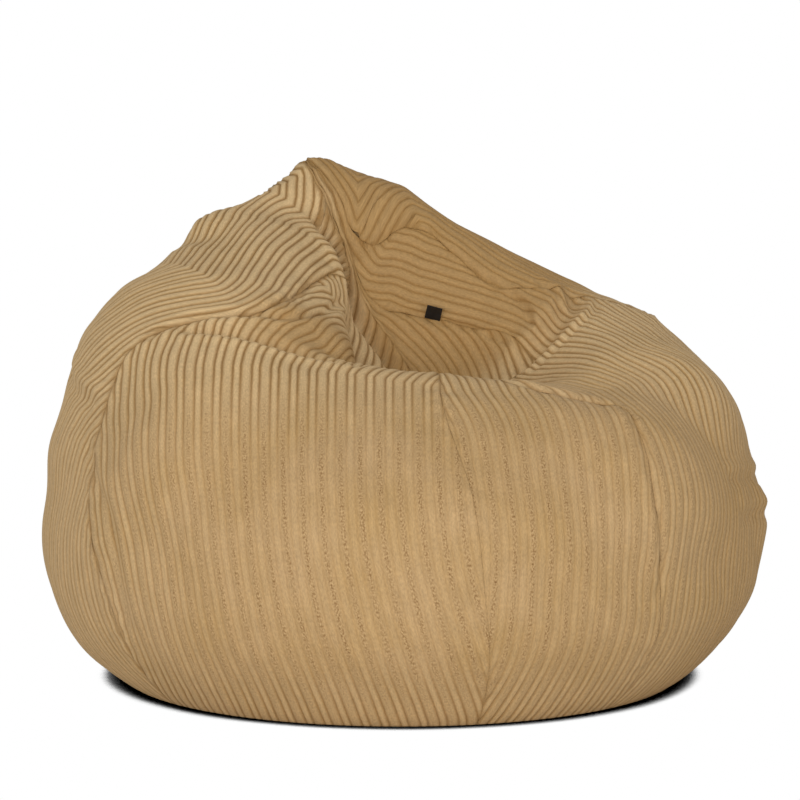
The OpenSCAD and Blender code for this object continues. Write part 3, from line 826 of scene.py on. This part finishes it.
def spread(tree, value, low, high, start=0.0, end=1.0, kind="LINEAR"):
    """A value's range low to high, taken to the range start to end and held there."""
    return node(tree, "ShaderNodeMapRange", {"Value": value}, interpolation_type=kind, From_Min=low,
                From_Max=high, To_Min=start, To_Max=end).outputs[0]


def times(tree, a, b):
    """Two values multiplied."""
    return node(tree, "ShaderNodeMath", {0: a, 1: b}, operation="MULTIPLY").outputs[0]


def blended(tree, a, b, links, **settings):
    """A colour mix with these links and settings; a and b are each a hex colour or a socket."""
    for key, colour in (("A", a), ("B", b)):
        if isinstance(colour, str):
            settings[key] = linear(colour)
        else:
            links[key] = colour
    return node(tree, "ShaderNodeMix", links, data_type="RGBA", **settings).outputs["Result"]


def mixed(tree, factor, a, b):
    """Two colours mixed by a factor."""
    return blended(tree, a, b, {"Factor": factor})


def shaded(tree, colour, value):
    """A colour multiplied by a value."""
    return blended(tree, colour, value, {}, blend_type="MULTIPLY", Factor=1.0)


def stripes(tree, place, pitch, way):
    """Waves of that pitch in metres along an axis of their place."""
    return node(tree, "ShaderNodeTexWave", {"Vector": place}, Scale=1 / pitch / 20,
                bands_direction=way).outputs["Fac"]


def raised(tree, height, strength, distance):
    """The normal that a height gives as a bump, up to that distance in metres."""
    return node(tree, "ShaderNodeBump", {"Height": height}, Strength=strength, Distance=distance).outputs[0]


def corduroy():
    """Brushed cotton corduroy: a painted highlight on the wales' crowns, deeper down their sides and painted
    shade in the grooves between.

    The pile's tufts are under a millimetre; they are drawn 1.8 mm wide and 4.5 mm along the wale so that they
    show. Where the pile is worn the grooves close up, and a crushed streak runs along the middle of each wide
    wale in darker and paler flecks. Painted shade makes the pile darker and more saturated on the seat's
    back, the slope behind it and the sides."""
    material, tree = new_material("brushed_cotton_corduroy")
    wale, middle, flat, deep = (node(tree, "ShaderNodeAttribute", attribute_name=key).outputs["Fac"]
                                for key in ("wale", "middle", "worn", "deep"))
    cloth = node(tree, "ShaderNodeUVMap", uv_map="cloth").outputs["UV"]
    place = node(tree, "ShaderNodeTexCoord").outputs["Object"]
    pile = noise(tree, cloth, (0.0018, 0.0045, 1), 2.0)
    combed = noise(tree, cloth, (0.0022, 0.03, 1), 2.0)
    flecks = noise(tree, cloth, (0.0019, 0.003, 1), 1.0)
    patches = noise(tree, cloth, (0.012, 0.03, 1), 2.0)
    brushed = noise(tree, place, 0.09)

    # The pile's colour: its own, mottled by brushing, combing and its tufts, with a painted highlight on the
    # crowns, painted shade on the seat's back and sides, and worn pile a little paler
    own = mixed(tree, spread(tree, brushed, 0.3, 0.7), PILE_DARK, PILE_PALE)
    # Painted highlight: the wales' crowns paler, faint where the pile is worn and in the painted shade
    crown_highlight = times(tree, spread(tree, wale, 0.5, 1.0, kind="SMOOTHSTEP"), spread(tree, flat, 0, 1, 1.0, 0.1))
    own = mixed(tree, times(tree, crown_highlight, spread(tree, deep, 0, 1, 1.0, 0.5)), own, CROWN_HIGHLIGHT)
    # Painted shade: darker, more saturated pile over the painted shade region
    own = mixed(tree, spread(tree, deep, 0, 1, 0, 0.72), own, PILE_PAINTED_SHADE)
    own = shaded(tree, own, spread(tree, pile, 0.3, 0.7, 0.87, 1.11))
    own = shaded(tree, own, spread(tree, combed, 0.3, 0.7, 0.94, 1.05))
    own = shaded(tree, own, spread(tree, patches, 0.3, 0.7, 0.94, 1.05))
    # Worn pile 2% paler: partly the crushed pile's own paleness, partly painted light on the lower front
    own = shaded(tree, own, spread(tree, flat, 0, 1, 1.0, 1.02))
    # Crushed streaks along the wide wales
    crush = times(tree, spread(tree, middle, 0, 0.65), spread(tree, flat, 0, 1, 0.1, 0.85))
    crush = times(tree, crush, spread(tree, patches, 0.3, 0.6, 0.5, 1.0))
    streak = mixed(tree, spread(tree, flecks, 0.3, 0.7), FLECK_DARK, FLECK_PALE)
    own = mixed(tree, crush, own, streak)
    # Painted shade in the grooves, faint where the pile is flattened and in the painted shade region
    side = spread(tree, wale, 0.0, 0.8, 1.0, 0.0, "SMOOTHSTEP")
    side = times(tree, side, spread(tree, flat, 0, 1, 0.65, 0.15))
    own = mixed(tree, times(tree, side, spread(tree, deep, 0, 1, 1.0, 0.8)), own, GROOVE_SHADE)

    rough = node(tree, "ShaderNodeMath", {0: pile, 1: times(tree, flecks, crush)}, operation="ADD").outputs[0]
    finish(tree, {"Base Color": own, "Normal": raised(tree, rough, 0.6, 0.0009)}, Roughness=0.75,
           Specular_IOR_Level=0.35, Sheen_Weight=0.06, Sheen_Roughness=0.6, Sheen_Tint=linear("#D0A562"))
    return material


def weave(name, code, pitch):
    """A plain weave: threads a pitch apart both ways, as two crossed waves in the bump and a faint mottle."""
    material, tree = new_material(name)
    place = node(tree, "ShaderNodeTexCoord").outputs["Object"]
    cross = times(tree, *(stripes(tree, place, pitch, way) for way in "XY"))
    own = shaded(tree, code, spread(tree, noise(tree, place, 0.02), 0, 1, 0.88, 1.08))
    finish(tree, {"Base Color": own, "Normal": raised(tree, cross, 0.4, pitch / 3)}, Roughness=0.85,
           Sheen_Weight=0.1, Specular_IOR_Level=0.2)
    return material


def satin():
    """Woven polyester satin, black: long floats across the tag, so a soft sheen, and a fine rib along it."""
    material, tree = new_material("woven_black_satin")
    cloth = node(tree, "ShaderNodeUVMap", uv_map="cloth").outputs["UV"]
    ribs = stripes(tree, cloth, 0.0008, "Y")
    own = mixed(tree, noise(tree, cloth, (0.003, 0.0004, 1), 2.0), "#0E0E10", "#1C1C1F")
    finish(tree, {"Base Color": own, "Normal": raised(tree, ribs, 0.3, 0.0002)}, Roughness=0.5,
           Anisotropic=0.4, Specular_IOR_Level=0.4)
    return material


def coil(name, code):
    """Nylon zip coil: turns 1.5 mm apart along the zip, glossy, with the sewing thread between them."""
    material, tree = new_material(name)
    turns = stripes(tree, node(tree, "ShaderNodeTexCoord").outputs["Object"], 0.0015, "X")
    own = shaded(tree, code, spread(tree, turns, 0, 1, 0.45, 1.1))
    finish(tree, {"Base Color": own, "Normal": raised(tree, turns, 0.8, 0.0006)}, Roughness=0.35, IOR=1.53)
    return material


def die_cast():
    """Die-cast zinc, tumbled: a grey metal with soft dents and a fine scatter in its shine."""
    material, tree = new_material("tumbled_zinc_casting")
    dents = noise(tree, node(tree, "ShaderNodeTexCoord").outputs["Object"], 0.002, 4.0)
    finish(tree, {"Roughness": spread(tree, dents, 0, 1, 0.28, 0.48),
                  "Normal": raised(tree, dents, 0.15, 0.0003)}, Metallic=1.0, Base_Color=linear("#A9A9A4"))
    return material


def beads():
    """Expanded polystyrene beads, 3 to 5 mm: white rounds from a cell pattern, with shade in the gaps."""
    material, tree = new_material("expanded_polystyrene_beads")
    place = node(tree, "ShaderNodeTexCoord").outputs["Object"]
    far = node(tree, "ShaderNodeTexVoronoi", {"Vector": place}, Scale=1 / 0.0045).outputs["Distance"]
    own = mixed(tree, spread(tree, far, 0.3, 0.8), "#F4F4F1", "#B9B9B4")
    finish(tree, {"Base Color": own, "Normal": raised(tree, spread(tree, far, 0, 1, 1, 0), 0.7, 0.002)},
           Roughness=0.6, Subsurface_Weight=0.1)
    return material


# The third colour is a painted highlight for the wales' crowns and the fourth painted shade; the first two
# are the pile's own mottle
PILE_DARK, PILE_PALE, CROWN_HIGHLIGHT, PILE_PAINTED_SHADE = "#AE8C5B", "#B69569", "#D1B384", "#A47E48"
FLECK_DARK, FLECK_PALE = "#755122", "#C4A272"
# Painted shade in the grooves
GROOVE_SHADE = "#8F6A34"
CORDUROY = corduroy()
LINER_CLOTH = weave("polyester_cotton_sheeting", "#E6E1D6", 0.0008)
LABEL_SATIN = satin()
BEADS = beads()
ZIP_DYE, ZIP_NATURAL = "#A58757", "#DFDBD0"
ZIP_TAPE = weave("dyed_zip_tape", ZIP_DYE, 0.0009)
LINER_ZIP_TAPE = weave("natural_zip_tape", ZIP_NATURAL, 0.0009)
ZIP_COIL, LINER_ZIP_COIL = coil("dyed_nylon_coil", ZIP_DYE), coil("natural_nylon_coil", ZIP_NATURAL)
ZINC = die_cast()

# ---------------------------------------------------------------- the pieces


def place(made, node_name, slot, rests_on=(), held="stretched"):
    """Puts a sheet on the bag's body, in place of its CAD node."""
    piece, flat, *area = made
    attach(piece, BODY)
    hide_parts(node_name)


for name, left, right, line in PANELS:
    place(panel(name, left, right, line, CORDUROY), name, "corduroy", ["liner_wall"])
place(base_half("base_front_half_cloth", -1), "base_front_half", "corduroy", held="laid")
place(base_half("base_rear_half_cloth", 1), "base_rear_half", "corduroy", held="laid")
place(liner_wall(), "liner_wall", "liner_cloth", ["bead_fill"])
place(liner_base(), "liner_base", "liner_cloth", ["base_front_half", "base_rear_half"], held="laid")
place(label(), "label", "label_satin", ["right_panel"], held="folded")
fill = bead_fill()
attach(fill, BODY)
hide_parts("bead_fill")

# The zips are the CAD's own, with their real finishes.
for names, material in [
        (["zip_tape_front", "zip_tape_rear"], ZIP_TAPE),
        (["zip_coil_front", "zip_coil_rear", "zip_top_stop", "zip_bottom_stop"], ZIP_COIL),
        (["liner_zip_tape_front", "liner_zip_tape_rear"], LINER_ZIP_TAPE),
        (["liner_zip_coil_front", "liner_zip_coil_rear", "liner_zip_top_stop", "liner_zip_bottom_stop"],
         LINER_ZIP_COIL),
        (["zip_slider", "liner_zip_slider"], ZINC)]:
    for name in names:
        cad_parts[name].data.materials.clear()
        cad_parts[name].data.materials.append(material)

# ---------------------------------------------------------------- stage


def stage():
    """A floor that shows white to the camera, with a painted contact shadow at the bag's foot; soft light, a
    camera.
    """
    scene = bpy.context.scene
    scene.view_settings.view_transform = "Standard"
    world = bpy.data.worlds.new("studio")
    scene.world = world
    world.use_nodes = True
    tree = world.node_tree
    tree.nodes.clear()
    path = node(tree, "ShaderNodeLightPath")
    strength = node(tree, "ShaderNodeMix", {"Factor": path.outputs["Is Camera Ray"]}, data_type="FLOAT",
                    A=WORLD, B=1.0)
    back = node(tree, "ShaderNodeBackground", {"Strength": strength.outputs["Result"]}, Color=(1, 1, 1, 1))
    node(tree, "ShaderNodeOutputWorld", {"Surface": back.outputs[0]})

    # To the camera the floor glows white, less where the bag closes it off: a painted contact shadow
    material, tree = new_material("white_floor")
    path = node(tree, "ShaderNodeLightPath")
    closed = node(tree, "ShaderNodeAmbientOcclusion", Distance=0.03, samples=16)
    share = spread(tree, closed.outputs["AO"], 0.27, 0.52, kind="SMOOTHSTEP")
    glow = node(tree, "ShaderNodeEmission", {"Strength": share}, Color=(1, 1, 1, 1))
    matt = node(tree, "ShaderNodeBsdfDiffuse", Color=(0.85, 0.85, 0.85, 1))
    both = node(tree, "ShaderNodeMixShader",
                {0: path.outputs["Is Camera Ray"], 1: matt.outputs[0], 2: glow.outputs[0]})
    node(tree, "ShaderNodeOutputMaterial", {"Surface": both.outputs[0]})
    mesh = bpy.data.meshes.new("floor")
    mesh.from_pydata([(-9, -9, 0), (9, -9, 0), (9, 9, 0), (-9, 9, 0)], [], [(0, 1, 2, 3)])
    floor = bpy.data.objects.new("floor", mesh)
    scene.collection.objects.link(floor)
    mesh.materials.append(material)

    for name, spot, size, power in LAMPS:
        light = bpy.data.lights.new(name, "AREA")
        light.size = size
        light.energy = power
        o = bpy.data.objects.new(name, light)
        scene.collection.objects.link(o)
        o.location = spot
        o.rotation_euler = (Vector(LAMP_AIM) - Vector(spot)).to_track_quat("-Z", "Y").to_euler()

    camera = bpy.data.cameras.new("camera")
    camera.lens = CAMERA_LENS
    o = bpy.data.objects.new("camera", camera)
    scene.collection.objects.link(o)
    aim = Vector(CAMERA_AIM)
    rise = math.radians(CAMERA_RISE)
    o.location = aim + CAMERA_FAR * Vector((0, -math.cos(rise), math.sin(rise)))
    o.rotation_euler = (aim - o.location).to_track_quat("-Z", "Y").to_euler()
    scene.camera = o


WORLD = 0.52                             # the white world's light on the bag
# Each lamp: its name, place, size and power in watts
LAMPS = [("key", (-0.9, -3.4, 1.1), 1.8, 50), ("fill", (1.6, -2.9, 0.6), 1.2, 19)]
LAMP_AIM = (0, 0, 0.3)
CAMERA_AIM, CAMERA_FAR, CAMERA_RISE, CAMERA_LENS = (-0.001, 0, 0.348), 5.06, 7, 180
stage()
